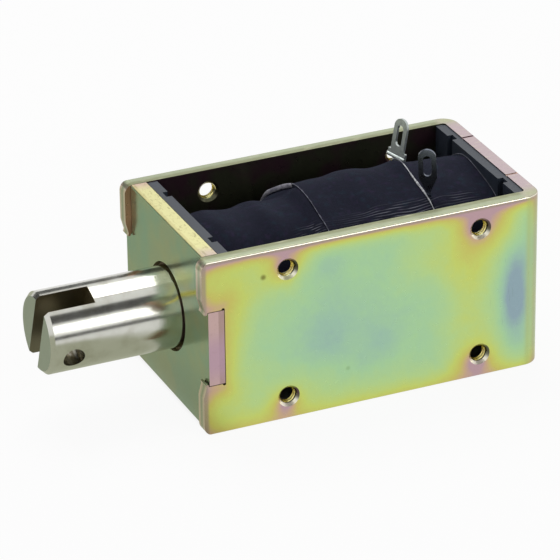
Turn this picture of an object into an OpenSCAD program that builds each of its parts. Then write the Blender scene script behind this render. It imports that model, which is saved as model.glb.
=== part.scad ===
// Open-frame push-pull solenoid, drawn with its plunger pulled out.
//
// A bent strip frame and a staked end plate close the magnetic circuit round a taped coil.
// The plunger pulls at its slotted front end and pushes with a rod that runs through the fixed core.
//
// Every sub-part is drawn about the plunger's axis, which is the X axis, with x = 0 at the front edges
// of the side walls. placed() then moves it to the part's own origin: the centre of the four mounting
// holes on the outer face of the near side wall. +X points to the rear wall and +Z up.

/* [Frame] */
// Length, from the side walls' front edges to the rear wall's outer face
frame_l = 53; // [50:0.5:64]
// Width across the outer faces of the side walls
frame_w = 30; // [29:0.5:36]
// Height of the strip
frame_h = 27; // [26.5:0.5:34]
// Thickness of the strip
strip_t = 2; // [1.6:0.1:2.4]
// Inside radius of the two rear bends
bend_r = 0.5; // [0.3:0.1:2]
// Radius of the side walls' front corners
wall_corner_r = 1.4; // [0.5:0.1:3]
// Rounding that blanking leaves along the strip's outer edges
edge_roll = 0.3; // [0.1:0.05:0.5]
// Distance between the two nicks that parting leaves in the rear wall's top edge
nick_pitch = 14.2; // [8:0.2:20]
// Width of a nick
nick_w = 0.4; // [0.2:0.05:0.8]
// Depth of a nick
nick_depth = 0.15; // [0.05:0.05:0.4]

/* [Mounting holes] */
// Distance between mounting holes along the frame
hole_pitch_x = 30; // [24:0.5:32]
// Distance between mounting holes up the frame
hole_pitch_z = 20; // [16:0.5:22]
// Distance from the side walls' front edges to the first holes
hole_inset = 13; // [9:0.5:15]
// Core diameter of the M3 thread
thread_core_d = 2.5; // [2.4:0.1:3.4]
// Depth and width of the countersink at each mouth of a mounting hole
countersink = 0.4; // [0.1:0.05:0.6]

/* [End plate] */
// Thickness of the end plate
plate_t = 2.4; // [1.6:0.1:3.2]
// Distance of the end plate behind the side walls' front edges
plate_recess = 0.9; // [0.6:0.1:2]
// Height of the tab on each side of the end plate
tab_h = 11.4; // [6:0.2:14]
// Clearance all round the end plate in the frame
plate_clear = 0.1; // [0.05:0.05:0.2]
// Length of the side wall's front edge that each stake pushes in
stake_l = 1.8; // [1:0.1:2.6]
// Depth of each stake
stake_depth = 0.45; // [0.2:0.05:0.5]
// How far the metal that each stake moves reaches over the tab
stake_lip = 0.35; // [0.15:0.05:0.6]

/* [Plunger] */
// Diameter of the plunger
plunger_d = 12; // [10:0.5:13]
// How far the pulled-out plunger stands in front of the side walls
plunger_reach = 19; // [17:0.5:30]
// Travel of the plunger
stroke = 10; // [4:0.5:11]
// Width of the slot between the two ears
slot_w = 3.3; // [2:0.1:4.5]
// Length of the slot from the tip
slot_l = 7.6; // [6:0.2:8]
// Diameter of the cross hole through the ears
pin_hole_d = 3.2; // [2:0.1:3.6]
// Distance from the tip to the cross hole's axis
pin_hole_inset = 3.4; // [2.8:0.1:4]
// Chamfer round the plunger's tip
tip_chamfer = 0.6; // [0.2:0.1:1]
// Width of the flat that lets air past the plunger
flat_w = 1.9; // [1:0.1:3]
// How far the plunger is rolled about its axis, in degrees
plunger_roll = 20; // [0:1:360]

/* [Fixed core] */
// Length of the fixed core in front of the rear wall
core_l = 18; // [12:0.5:22]
// Depth of the core's hollow cone, and length of the plunger's nose
cone_l = 4; // [2:0.5:5]
// Width of the flat rim round the hollow cone's mouth
cone_rim = 1; // [0.5:0.1:1.5]
// Diameter of the hollow cone's floor
cone_floor_d = 5.6; // [5:0.2:7]
// Diameter of the spigot that is riveted into the rear wall
spigot_d = 8; // [6:0.5:9]
// How far the rivet's head spreads in its countersink
rivet_spread = 0.6; // [0.2:0.1:0.8]
// Thickness of the non-magnetic washer on the cone's floor
washer_t = 0.4; // [0.2:0.1:0.8]

/* [Push rod] */
// Diameter of the push rod
rod_d = 3; // [2.4:0.1:3.4]
// Depth of the push rod's seat in the plunger
rod_seat_l = 9; // [6:0.5:14]
// Thickness of the retaining ring
ring_t = 0.6; // [0.4:0.1:1]
// Outer diameter of the retaining ring
ring_d = 6; // [5:0.5:8]
// Depth of the ring's groove in the rod
ring_groove = 0.35; // [0.25:0.05:0.5]
// Length of the rod behind the retaining ring
rod_tail = 1.3; // [0.8:0.1:4]

/* [Fits] */
// Clearance of the plunger in its guide tube, measured on the radius
guide_clear = 0.05; // [0.02:0.01:0.1]
// Clearance of the push rod in the fixed core, measured on the radius
rod_clear = 0.1; // [0.05:0.01:0.2]
// Clearance between fixed pieces that slip together, measured on the radius
slip_clear = 0.05; // [0.02:0.01:0.1]
// Gap left between faces at either end of the plunger's travel
stop_gap = 0.1; // [0.05:0.05:0.3]

/* [Coil] */
// Wall of the brass guide tube
guide_wall = 0.4; // [0.3:0.05:0.6]
// Distance of the guide tube's mouth behind the end plate's front face
guide_inset = 0.6; // [0.2:0.1:1.2]
// Gap between the end plate's bore and the guide tube
bore_gap = 0.1; // [0.05:0.05:0.4]
// Wall of the bobbin's tube
bobbin_wall = 0.9; // [0.6:0.1:1.2]
// Thickness of the bobbin's flanges
flange_t = 1.5; // [1:0.1:2.5]
// Play of the bobbin between the end plate and the rear wall
bobbin_play = 0.2; // [0.1:0.05:0.5]
// Gap between the bobbin's flanges and the side walls
flange_gap = 0.1; // [0.05:0.05:0.4]
// Distance of the flanges' edges inside the frame's top and bottom
flange_drop = 0.15; // [0.05:0.05:1]
// Distance of each lead groove from the middle of its flange
groove_y = 8.2; // [6:0.2:10]
// Width of a lead groove
groove_w = 1.6; // [1:0.1:2.4]
// Depth of a lead groove in its flange
groove_depth = 0.8; // [0.4:0.1:0.9]
// Thickness of the film between the winding and the cloth tape
film_t = 0.15; // [0.1:0.05:0.3]

/* [Cloth tape] */
// Thickness of the tape over the film where the side walls squeeze it
tape_t = 1.5; // [1:0.1:2.4]
// Length of the front wrap, with the collar that climbs onto the middle wrap
front_wrap_l = 17.6; // [12:0.2:19]
// Length of that collar
collar_l = 2.3; // [1:0.1:4]
// Length of the rear wrap; the middle wrap takes up the rest
rear_wrap_l = 10.4; // [8:0.2:13]
// Gap between the side walls and the collar and middle wrap
wrap_gap = 0.1; // [0.05:0.05:0.4]
// Gap between the side walls and the front wrap
front_wrap_gap = 0.8; // [0.3:0.1:1]
// Gap between the side walls and the rear wrap
rear_wrap_gap = 0.25; // [0.1:0.05:0.8]
// Half width of the flats where the bulging wraps are squeezed
wrap_flat = 2.5; // [1:0.1:4]
// Half width of the flats of the front wrap, which is rounder
front_wrap_flat = 1; // [0.5:0.1:3]

/* [Terminals] */
// Distance of the far terminal from the middle of the coil
far_y = 5.9; // [4.6:0.1:6.2]
// Distance of the near terminal from the middle of the coil
near_y = 5.2; // [4.6:0.1:6.2]
// Height of the terminals' tips above the tape
terminal_rise = 6.2; // [6:0.1:9]
// Thickness of the terminals
terminal_t = 0.4; // [0.3:0.05:0.6]
// Width of the solder ring and the foot
terminal_w = 2.6; // [2.2:0.1:3.2]
// Width of the neck
neck_w = 0.7; // [0.5:0.1:1]
// Height of the taper between the neck and the solder ring
taper_h = 2; // [1.2:0.1:2.4]
// Width of the solder hole
solder_hole_w = 1.2; // [0.8:0.1:1.5]
// Length of the solder hole
solder_hole_l = 3.2; // [1.6:0.1:3.4]
// Metal above the solder hole
ring_end = 1; // [0.6:0.1:1.1]
// Length of the foot under the tape
foot_l = 5; // [3:0.5:7]
// Width of the far terminal's crimp
crimp_w = 3.5; // [3.2:0.1:4]
// Height of the far terminal's crimp
crimp_h = 0.9; // [0.6:0.1:1]
// Turn of the far solder ring away from facing the plunger, in degrees
far_turn = 18; // [-45:1:45]
// Turn of the near solder ring away from facing the plunger, in degrees
near_turn = 62; // [-75:1:75]
// Lean of the far solder ring towards the rear, in degrees
far_lean = 10; // [-12:1:12]
// Lean of the near solder ring towards the rear, in degrees
near_lean = -3; // [-12:1:12]
// Diameter of the winding's wire ends
wire_d = 0.25; // [0.15:0.05:0.4]
// Diameter of the solder beads
bead_d = 1; // [0.8:0.1:1.2]

/* [Hidden] */
$fn = 96;
through = 1;                                        // how far cutters run past the faces they open
inner_y = frame_w / 2 - strip_t;                    // inner face of each side wall
rear_x = frame_l - strip_t;                         // inner face of the rear wall
bend_end = bend_r + strip_t;                        // outside radius of the bends
mount_x = hole_inset + hole_pitch_x / 2;            // middle of the mounting holes
hole_xs = [hole_inset, hole_inset + hole_pitch_x];
hole_zs = [-hole_pitch_z / 2, hole_pitch_z / 2];
relief_r = 0.25;                                    // relief at the notches' inner corners
stake_root = 0.1;                                   // how far a stake's metal reaches into its wall
stake_taper = 0.12;

plate_back = plate_recess + plate_t;
notch_back = plate_back + plate_clear;
notch_h = tab_h + 2 * plate_clear;

plunger_r = plunger_d / 2;
tip_x = -plunger_reach;
guide_r = plunger_r + guide_clear;                  // bore of the guide tube
guide_outer_r = guide_r + guide_wall;
bobbin_r = guide_outer_r + slip_clear;              // bore of the bobbin
spool_r = bobbin_r + bobbin_wall;
plate_bore_r = guide_outer_r + bore_gap;

core_x = rear_x - core_l;                           // front face of the fixed core
core_r = guide_r - slip_clear;
cone_mouth_r = core_r - cone_rim;
seat_x = core_x + cone_l;                           // floor of the core's hollow cone
washer_x = seat_x - washer_t;
cone_clear = 0.35;                                  // keeps the plunger off the cone when it is home
nose_end = washer_x - stop_gap - stroke;            // nose of the pulled-out plunger
shoulder_x = core_x - cone_clear - stroke;          // where its nose starts
flat_depth = plunger_r - sqrt(plunger_r * plunger_r - flat_w * flat_w / 4);

rod_r = rod_d / 2;
groove_r = rod_r - ring_groove;
ring_x = frame_l + stop_gap;
ring_slack = 0.05;                                  // play of the retaining ring in its groove
rod_end = ring_x + ring_t + ring_slack + rod_tail;
ring_grip = 0.15;                                   // how far each side of the ring's mouth holds the rod
ring_mouth = 2 * (groove_r - ring_grip);

flange_front = plate_back + bobbin_play;
wind_front = flange_front + flange_t;
wind_back = rear_x - flange_t;
wrap_half = inner_y - wrap_gap;
wrap_r = wrap_half - tape_t;                        // bore of the cloth wraps
film_r = wrap_r - slip_clear;
winding_r = film_r - film_t;
middle_x = wind_front + front_wrap_l;
collar_x = middle_x - collar_l;
seam_x = wind_back - rear_wrap_l;                   // the terminals stand in this seam

foot_lift = 0.1;                                    // keeps the terminals' feet off the film
foot_r = wrap_r + foot_lift + terminal_t / 2;       // radius where the middles of the feet lie
tape_z = wrap_half;                                 // top of the wraps
tip_z = tape_z + terminal_rise;
neck_sink = 0.4;                                    // how far the necks' tops lie under the tape's surface
crimp_rise = 0.9;                                   // height of the crimp above the tape
pocket = 0.05;                                      // room for the terminals in the rear wrap
wire_r = wire_d / 2;
elbow_r = 1.3 * wire_r;                             // radius of the bead of enamel where a wire bends
wire_x = terminal_t / 2 + elbow_r + 0.04;           // the wire ends rise just behind the terminals
neck_room = norm([neck_w, terminal_t]) / 2 + pocket;    // room for a turned neck
wire_room = wire_x + wire_r + pocket;               // room for a turned neck's wire
bead_x = (bead_d - terminal_t) / 2 + 0.05;          // middle of the solder bead behind the neck's middle
bead_h = neck_sink + taper_h - bead_d / 2;          // and above the foot of the taper

steel_color = [0.72, 0.74, 0.58];
cut_color = [0.78, 0.77, 0.6];
nickel_color = [0.8, 0.81, 0.8];
brass_color = [0.75, 0.6, 0.3];
bobbin_color = [0.3, 0.34, 0.38];
copper_color = [0.72, 0.38, 0.2];
film_color = [0.75, 0.7, 0.45];
cloth_color = [0.1, 0.11, 0.18];
tin_color = [0.75, 0.78, 0.76];

// ---- Helpers ----

// Moves a sub-part from the plunger's axis to the part's own origin.
module placed() {
    translate([-mount_x, frame_w / 2, 0]) children();
}

// Turns a profile, drawn as [radius, x], about the plunger's axis.
module turned() {
    rotate([0, 90, 0]) rotate_extrude() children();
}

// A cylinder along X between two places.
module rod_between(x0, x1, r) {
    translate([x0, 0, 0]) rotate([0, 90, 0]) cylinder(r = r, h = x1 - x0);
}

// Section of blanked strip: thickness along x with the outer face last, height along y.
module strip_section(t) {
    difference() {
        translate([0, -frame_h / 2]) square([t, frame_h]);
        for (end = [0, 1]) mirror([0, end])
            translate([t - edge_roll, frame_h / 2 - edge_roll]) difference() {
                square(edge_roll + through);
                circle(r = edge_roll);
            }
    }
}

// A square with flats of the given half width, and round corners that bulge between them.
module bulged_square(half, flat = wrap_flat) {
    square([2 * half, 2 * flat], center = true);
    square([2 * flat, 2 * half], center = true);
    for (y = [-flat, flat], z = [-flat, flat])
        translate([y, z]) circle(r = half - flat);
}

// Extrudes a section, drawn as [y, z], along X.
module along_x(x0, x1) {
    translate([x0, 0, 0]) rotate([90, 0, 90]) linear_extrude(x1 - x0) children();
}

// ---- Frame and end plate ----

// One straight side wall with its bend, on the +Y side.
module side_wall() {
    translate([0, inner_y, 0]) rotate([90, 0, 90]) linear_extrude(frame_l - bend_end)
        strip_section(strip_t);
    translate([frame_l - bend_end, inner_y - bend_r, 0]) rotate_extrude(angle = 90)
        translate([bend_r, 0]) strip_section(strip_t);
}

module rear_wall() {
    translate([rear_x, inner_y - bend_r, 0]) rotate([90, 0, 0])
        linear_extrude(2 * (inner_y - bend_r)) strip_section(strip_t);
}

// Rounds the side walls' upper front corner.
module wall_corner_cut() {
    rotate([90, 0, 0]) translate([0, 0, -frame_w / 2 - through]) linear_extrude(frame_w + 2 * through)
        translate([wall_corner_r, frame_h / 2 - wall_corner_r]) difference() {
            translate([-wall_corner_r - through, 0]) square(wall_corner_r + through);
            circle(r = wall_corner_r);
        }
}

// Notch in both side walls for the end plate's tabs, open to the front.
module tab_notch() {
    translate([-through, -frame_w / 2 - through, -notch_h / 2])
        cube([notch_back + through, frame_w + 2 * through, notch_h]);
    for (z = [-notch_h / 2, notch_h / 2])
        translate([notch_back - relief_r, 0, z]) rotate([90, 0, 0])
            cylinder(r = relief_r, h = frame_w + 2 * through, center = true);
}

// Dent that a stake leaves in the front edge above the notch.
module stake_dent() {
    rotate([90, 0, 0]) linear_extrude(frame_w + 2 * through, center = true)
        polygon([[-through, notch_h / 2 - through], [stake_depth, notch_h / 2 - through],
                 [stake_depth, notch_h / 2 + stake_root], [0, notch_h / 2 + stake_l],
                 [-through, notch_h / 2 + stake_l]]);
}

// Metal that the same stake moves in front of the tab, on the +Y side.
module stake_lip() {
    lip_back = plate_recess - plate_clear;
    translate([0, frame_w / 2, 0]) rotate([90, 0, 0]) linear_extrude(strip_t)
        polygon([[stake_depth - stake_taper, notch_h / 2 - stake_lip],
                 [lip_back - stake_taper, notch_h / 2 - stake_lip], [lip_back, notch_h / 2],
                 [lip_back, notch_h / 2 + stake_root], [stake_depth, notch_h / 2 + stake_root]]);
}

// Tapped hole through both side walls, with a countersink at each mouth.
module mounting_hole() {
    bore_r = thread_core_d / 2;
    rotate([90, 0, 0]) cylinder(r = bore_r, h = frame_w + 2 * through, center = true);
    for (side = [0, 1]) mirror([0, side, 0]) {
        translate([0, frame_w / 2 - countersink, 0]) rotate([-90, 0, 0])
            cylinder(r1 = bore_r, r2 = bore_r + countersink + through, h = countersink + through);
        translate([0, inner_y + countersink, 0]) rotate([90, 0, 0])
            cylinder(r1 = bore_r, r2 = bore_r + countersink + through, h = countersink + through);
    }
}

// Hole for the core's spigot, countersunk outside for its rivet head.
module spigot_hole() {
    rod_between(rear_x - through, frame_l + through, spigot_d / 2);
    translate([frame_l - rivet_spread, 0, 0]) rotate([0, 90, 0])
        cylinder(r1 = spigot_d / 2, r2 = spigot_d / 2 + rivet_spread + through, h = rivet_spread + through);
}

module frame() {
    color(steel_color) placed() difference() {
        union() {
            difference() {
                union() {
                    side_wall();
                    mirror([0, 1, 0]) side_wall();
                    rear_wall();
                }
                tab_notch();
                for (end = [0, 1]) mirror([0, 0, end]) {
                    wall_corner_cut();
                    stake_dent();
                }
            }
            for (side = [0, 1], end = [0, 1]) mirror([0, side, 0]) mirror([0, 0, end]) stake_lip();
        }
        for (x = hole_xs, z = hole_zs) translate([x, 0, z]) mounting_hole();
        spigot_hole();
        for (side = [-1, 1])
            translate([rear_x - through, (side * nick_pitch - nick_w) / 2, frame_h / 2 - nick_depth])
                cube([strip_t + 2 * through, nick_w, nick_depth + through]);
    }
}

module end_plate() {
    half_y = inner_y - plate_clear;
    color(cut_color) placed() difference() {
        union() {
            translate([plate_back, half_y, 0]) mirror([1, 0, 0]) rotate([90, 0, 0])
                linear_extrude(2 * half_y) strip_section(plate_t);
            translate([plate_recess, -frame_w / 2, -tab_h / 2]) cube([plate_t, frame_w, tab_h]);
        }
        rod_between(plate_recess - through, plate_back + through, plate_bore_r);
    }
}

// ---- Fixed magnetic circuit ----

// The core's spigot is riveted into the rear wall, and its hollow cone faces the plunger.
module fixed_core() {
    bore_r = rod_r + rod_clear;
    color(nickel_color) placed() turned() polygon([
        [cone_mouth_r, core_x], [core_r, core_x], [core_r, rear_x], [spigot_d / 2, rear_x],
        [spigot_d / 2, frame_l - rivet_spread], [spigot_d / 2 + rivet_spread, frame_l],
        [bore_r, frame_l], [bore_r, seat_x], [cone_floor_d / 2, seat_x]]);
}

module residual_washer() {
    color(brass_color) placed() difference() {
        rod_between(washer_x, seat_x, cone_floor_d / 2 - slip_clear);
        rod_between(washer_x - through, seat_x + through, rod_r + rod_clear);
    }
}

module guide_tube() {
    color(brass_color) placed() difference() {
        rod_between(plate_recess + guide_inset, rear_x, guide_outer_r);
        rod_between(plate_recess - through, rear_x + through, guide_r);
    }
}

// ---- Coil ----

// One flange, with grooves at its top edge that lead the wire ends in.
module flange(x0, groove_x) {
    half_y = inner_y - flange_gap;
    half_z = frame_h / 2 - flange_drop;
    difference() {
        translate([x0, -half_y, -half_z]) cube([flange_t, 2 * half_y, 2 * half_z]);
        for (y = [-groove_y, groove_y])
            translate([groove_x, y - groove_w / 2, spool_r]) cube([groove_depth, groove_w, half_z]);
    }
}

// Bevels the rear flange's upright edges, to clear the insides of the frame's bends.
module bend_bevels() {
    half_y = inner_y - flange_gap;
    for (side = [0, 1]) mirror([0, side, 0])
        translate([rear_x, half_y, -frame_h / 2]) linear_extrude(frame_h)
            polygon([[-bend_r - through, through], [-bend_r, 0], [0, -bend_r], [through, -bend_r - through],
                     [through, through]]);
}

module bobbin() {
    color(bobbin_color) placed() difference() {
        union() {
            flange(flange_front, wind_front - groove_depth);
            flange(wind_back, wind_back);
            rod_between(flange_front, rear_x, spool_r);
        }
        rod_between(flange_front - through, rear_x + through, bobbin_r);
        bend_bevels();
    }
}

module winding() {
    color(copper_color) placed() difference() {
        rod_between(wind_front, wind_back, winding_r);
        rod_between(wind_front - through, wind_back + through, spool_r);
    }
}

module insulating_film() {
    color(film_color) placed() difference() {
        rod_between(wind_front, wind_back, film_r);
        rod_between(wind_front - through, wind_back + through, winding_r);
    }
}

// Bore that the cloth wraps share.
module wrap_bore() {
    rod_between(wind_front - through, wind_back + through, wrap_r);
}

// The front wrap ends in a collar that climbs over the edge of the middle wrap.
module front_tape_wrap() {
    color(cloth_color) placed() difference() {
        union() {
            along_x(wind_front, collar_x) bulged_square(inner_y - front_wrap_gap, front_wrap_flat);
            along_x(collar_x, middle_x) bulged_square(wrap_half);
        }
        wrap_bore();
    }
}

module middle_tape_wrap() {
    color(cloth_color) placed() difference() {
        along_x(middle_x, seam_x) bulged_square(wrap_half);
        wrap_bore();
    }
}

// The rear wrap holds the terminals' feet.
module rear_tape_wrap() {
    room = max(neck_room, wire_room);
    color(cloth_color) placed() difference() {
        along_x(seam_x, wind_back) bulged_square(inner_y - rear_wrap_gap);
        wrap_bore();
        for (side = [-1, 1]) {
            on_film(side) translate([-through, -terminal_w / 2 - pocket, -terminal_t / 2 - pocket])
                cube([foot_l + pocket + through, terminal_w + 2 * pocket, terminal_t + 2 * pocket]);
            translate([seam_x - through, terminal_y(side) - room, foot_z(side)])
                cube([neck_room + room + through, 2 * room, frame_h]);
        }
    }
}

// ---- Terminals ----

// The far terminal has side 1 and the near one side -1.
function terminal_y(side) = side > 0 ? far_y : -near_y;
function terminal_turn(side) = side > 0 ? far_turn : near_turn;
function terminal_lean(side) = side > 0 ? far_lean : near_lean;

// How far a terminal's foot is tilted to lie on the round coil, and the height of its middle.
function foot_tilt(side) = asin(-terminal_y(side) / foot_r);
function foot_z(side) = foot_r * cos(foot_tilt(side));

// Height of the middle wrap's surface beside a terminal, and of the terminal's neck.
function tape_surface(side) =
    wrap_flat + sqrt(pow(wrap_half - wrap_flat, 2) - pow(abs(terminal_y(side)) - wrap_flat, 2));
function neck_z(side) = tape_surface(side) - neck_sink;

// Moves what is drawn about the middle of a foot's front end to its place on the film.
module on_film(side) {
    translate([seam_x, 0, 0]) rotate([foot_tilt(side), 0, 0]) translate([0, 0, foot_r]) children();
}

// Moves what is drawn about the top of a neck to its place, turned as the terminal is.
module at_neck(side, lean = 0) {
    translate([seam_x + neck_room, terminal_y(side), neck_z(side)]) rotate([0, lean, 0])
        rotate([0, 0, terminal_turn(side)]) children();
}

// Outline of a terminal above its neck: a taper and a ring with an oblong hole, standing on y = 0.
module leaf(side) {
    ring_z = tip_z - neck_z(side) - terminal_w / 2;
    hole_z = tip_z - neck_z(side) - ring_end;
    taper_z = neck_sink + taper_h;
    difference() {
        union() {
            polygon([[neck_w / 2, 0], [neck_w / 2, neck_sink], [terminal_w / 2, taper_z],
                     [terminal_w / 2, ring_z], [-terminal_w / 2, ring_z], [-terminal_w / 2, taper_z],
                     [-neck_w / 2, neck_sink], [-neck_w / 2, 0]]);
            translate([0, ring_z]) circle(d = terminal_w);
            if (side > 0)
                translate([-crimp_w / 2, neck_sink + crimp_rise]) square([crimp_w, crimp_h]);
        }
        for (z = [hole_z - solder_hole_w / 2, hole_z - solder_hole_l + solder_hole_w / 2])
            translate([0, z]) circle(d = solder_hole_w);
        translate([-solder_hole_w / 2, hole_z - solder_hole_l + solder_hole_w / 2])
            square([solder_hole_w, solder_hole_l - solder_hole_w]);
    }
}

// A terminal: its foot lies under the tape, its neck stands up in the seam and carries the ring.
// The far one is crimped where it leaves the tape, with a rolled lip along the crimp's foot.
module terminal(side) {
    on_film(side) translate([0, -terminal_w / 2, -terminal_t / 2]) cube([foot_l, terminal_w, terminal_t]);
    at_neck(side) translate([-terminal_t / 2, -neck_w / 2, foot_z(side) - neck_z(side)])
        cube([terminal_t, neck_w, neck_z(side) - foot_z(side)]);
    at_neck(side, terminal_lean(side)) {
        rotate([90, 0, 90]) linear_extrude(terminal_t, center = true) leaf(side);
        if (side > 0)
            translate([-terminal_t / 4, 0, neck_sink + crimp_rise]) rotate([90, 0, 0])
                cylinder(r = 0.75 * terminal_t, h = crimp_w, center = true);
    }
}

// The end of the winding's wire: it rises behind the neck and ends in the solder bead.
module wire_end(side) {
    foot_top = foot_z(side) + terminal_t / 2 / cos(foot_tilt(side))
        + (wire_x + wire_r) * abs(tan(foot_tilt(side))) + 0.02;
    at_neck(side) translate([wire_x, 0, foot_top - neck_z(side)])
        cylinder(r = wire_r, h = neck_z(side) - foot_top, $fn = 24);
    at_neck(side) translate([wire_x, 0, 0]) sphere(r = elbow_r, $fn = 24);
    at_neck(side, terminal_lean(side)) translate([wire_x, 0, 0])
        cylinder(r = wire_r, h = bead_h, $fn = 24);
}

module far_terminal() {
    color(tin_color) placed() terminal(1);
}

module near_terminal() {
    color(tin_color) placed() terminal(-1);
}

module far_wire_end() {
    color(copper_color) placed() wire_end(1);
}

module near_wire_end() {
    color(copper_color) placed() wire_end(-1);
}

// Solder bead behind the foot of the solder ring.
module solder_bead(side) {
    difference() {
        at_neck(side, terminal_lean(side)) translate([bead_x, 0, bead_h]) sphere(d = bead_d);
        terminal(side);
        wire_end(side);
    }
}

module far_solder_bead() {
    color(tin_color) placed() solder_bead(1);
}

module near_solder_bead() {
    color(tin_color) placed() solder_bead(-1);
}

// ---- Moving pieces ----

// The plunger's slot, cross hole and flat are cut upright, and then rolled about its axis.
module plunger() {
    nose_r = cone_floor_d / 2 - cone_clear;
    color(nickel_color) placed() rotate([plunger_roll, 0, 0]) difference() {
        turned() polygon([
            [0, tip_x], [plunger_r - tip_chamfer, tip_x], [plunger_r, tip_x + tip_chamfer],
            [plunger_r, shoulder_x], [cone_mouth_r - cone_clear, shoulder_x],
            [nose_r, nose_end], [0, nose_end]]);
        translate([tip_x - through, -slot_w / 2, -plunger_r - through])
            cube([slot_l + through, slot_w, plunger_d + 2 * through]);
        translate([tip_x + pin_hole_inset, 0, 0]) rotate([90, 0, 0])
            cylinder(d = pin_hole_d, h = plunger_d + 2 * through, center = true);
        translate([tip_x + slot_l - through, -plunger_r, plunger_r - flat_depth])
            cube([shoulder_x - tip_x - slot_l + 2 * through, plunger_d, through]);
        rod_between(nose_end - rod_seat_l, nose_end + through, rod_r);
    }
}

module push_rod() {
    color(nickel_color) placed() turned() polygon([
        [0, nose_end - rod_seat_l], [rod_r, nose_end - rod_seat_l], [rod_r, ring_x - ring_slack],
        [groove_r, ring_x - ring_slack], [groove_r, ring_x + ring_t + ring_slack],
        [rod_r, ring_x + ring_t + ring_slack], [rod_r, rod_end - 0.3], [rod_r - 0.3, rod_end], [0, rod_end]]);
}

// Open ring that snaps into the rod's groove and stops it against the rear wall.
module retaining_ring() {
    color(steel_color) placed() translate([ring_x, 0, 0]) rotate([90, 0, 90]) linear_extrude(ring_t)
        difference() {
            circle(d = ring_d);
            circle(r = groove_r + ring_slack);
            translate([-ring_mouth / 2, -ring_d]) square([ring_mouth, ring_d]);
            for (side = [-1, 1]) translate([side * groove_r, 0.3]) circle(r = ring_mouth / 3);
        }
}

frame();
end_plate();
fixed_core();
residual_washer();
guide_tube();
bobbin();
winding();
insulating_film();
front_tape_wrap();
middle_tape_wrap();
rear_tape_wrap();
far_terminal();
near_terminal();
far_wire_end();
near_wire_end();
far_solder_bead();
near_solder_bead();
plunger();
push_rod();
retaining_ring();
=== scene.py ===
"""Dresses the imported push-pull solenoid: cloth tape, plated metal, studio and camera.

Everything is in metres in the row frame: the origin is the centre of the four mounting holes on the
near side wall, +X points to the rear wall and +Z up. Patterns are worked out in millimetres.
"""

import logging
import math
from dataclasses import dataclass
from enum import Enum
from typing import Any, Optional, Sequence, Union

import bpy
import numpy as np
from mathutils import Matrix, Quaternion, Vector

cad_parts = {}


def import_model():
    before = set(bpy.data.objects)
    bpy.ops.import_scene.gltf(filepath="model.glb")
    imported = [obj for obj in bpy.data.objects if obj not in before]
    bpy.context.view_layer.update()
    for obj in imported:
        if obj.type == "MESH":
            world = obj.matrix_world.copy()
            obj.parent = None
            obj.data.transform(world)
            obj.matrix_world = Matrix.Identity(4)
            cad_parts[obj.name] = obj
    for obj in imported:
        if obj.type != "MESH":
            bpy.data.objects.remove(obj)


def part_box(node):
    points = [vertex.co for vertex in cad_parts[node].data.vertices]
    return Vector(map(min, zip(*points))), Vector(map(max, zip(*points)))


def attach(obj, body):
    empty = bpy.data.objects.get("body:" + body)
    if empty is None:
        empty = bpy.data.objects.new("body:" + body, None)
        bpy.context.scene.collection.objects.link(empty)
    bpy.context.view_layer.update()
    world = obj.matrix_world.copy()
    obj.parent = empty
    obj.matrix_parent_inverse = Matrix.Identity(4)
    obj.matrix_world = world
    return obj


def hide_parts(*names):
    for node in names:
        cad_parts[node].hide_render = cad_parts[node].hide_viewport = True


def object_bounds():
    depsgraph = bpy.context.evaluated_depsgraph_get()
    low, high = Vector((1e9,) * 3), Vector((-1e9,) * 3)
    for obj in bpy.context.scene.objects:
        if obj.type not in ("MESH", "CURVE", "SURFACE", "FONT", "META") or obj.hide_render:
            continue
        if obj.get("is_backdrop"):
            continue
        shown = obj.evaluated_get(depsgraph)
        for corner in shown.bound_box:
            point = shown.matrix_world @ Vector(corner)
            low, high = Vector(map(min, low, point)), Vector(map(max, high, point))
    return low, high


LOG = logging.getLogger("solenoid")
MM = 0.001
Colour = tuple[float, float, float]
Stops = Sequence[tuple[float, Colour]]


def srgb(red: float, green: float, blue: float) -> Colour:
    """Turns a colour in 0 to 255 steps into the linear values that the shader uses.

    Args:
        red: Red step.
        green: Green step.
        blue: Blue step.

    Returns:
        The linear colour.
    """
    return tuple(
        part / 12.92 if part <= 0.04045 else ((part + 0.055) / 1.055) ** 2.4
        for part in (red / 255, green / 255, blue / 255)
    )


# ---- Shader maths ----


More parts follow.
